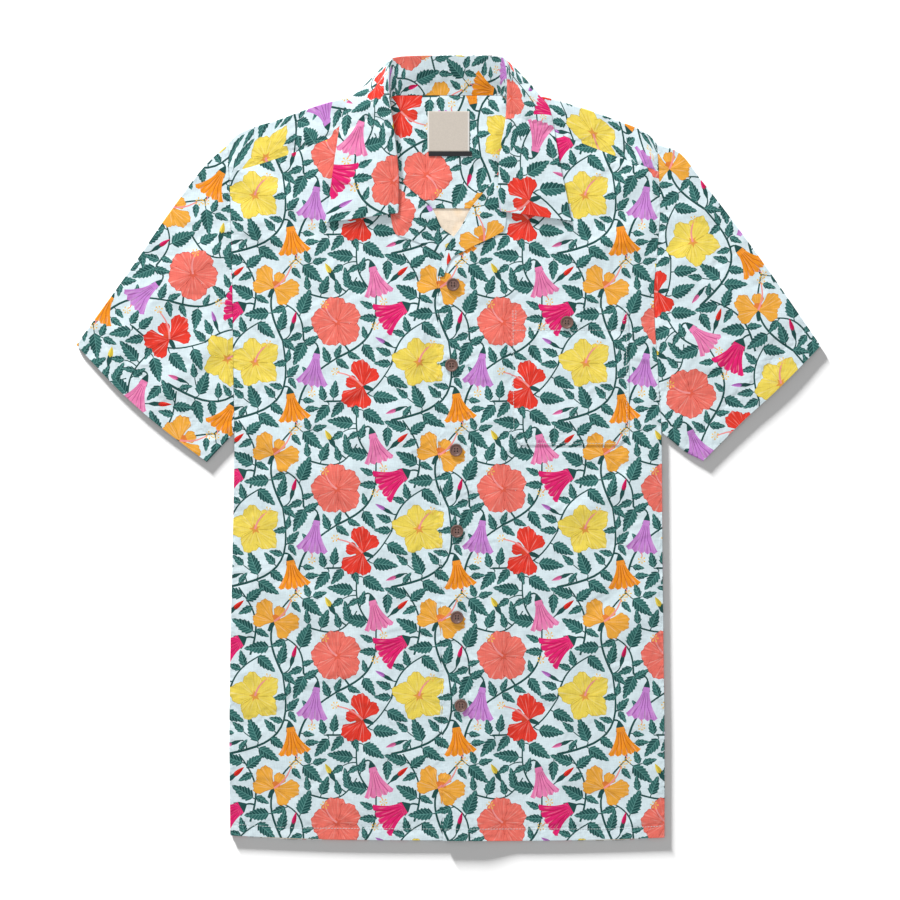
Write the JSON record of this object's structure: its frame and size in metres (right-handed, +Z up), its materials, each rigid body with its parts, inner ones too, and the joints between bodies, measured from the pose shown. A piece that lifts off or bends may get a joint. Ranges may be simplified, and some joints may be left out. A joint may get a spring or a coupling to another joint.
{
  "type": "hawaiian shirt",
  "caption": "Short-sleeved hawaiian shirt with an open camp collar, buttoned front, shoulder yoke and chest pocket, printed with hibiscus and leaves, laid flat on its back",
  "frame": {"origin": "middle of the underside of the laid shirt's bounding box, on the surface it lies on", "axes": "+X to the viewer's right and the wearer's left, +Y from hem to collar, +Z up off the surface"},
  "size_m": [0.782, 0.8219, 0.0138],
  "materials": {
    "printed_cloth": "matt plain-woven cloth, pale blue ground printed with hibiscus flowers and green leaves, paler inside",
    "label_weave": "beige woven label with pale selvedges, bare",
    "tab_weave": "near-black woven tab, bare",
    "button": "dark brown, satin, four holes and a raised rim"
  },
  "bodies": {
    "root": {"back": "printed_cloth", "yoke_outer": "printed_cloth", "yoke_inner": "printed_cloth", "front_right": "printed_cloth", "front_left": "printed_cloth", "lapel_right": "printed_cloth", "lapel_left": "printed_cloth", "collar": "printed_cloth", "sleeve_right": "printed_cloth", "sleeve_left": "printed_cloth", "pocket": "printed_cloth", "neck_label": "label_weave", "size_tab": "tab_weave", "button_1": "button", "button_2": "button", "button_3": "button", "button_4": "button", "button_5": "button", "button_6": "button", "button_pocket": "button"}
  },
  "joints": []
}
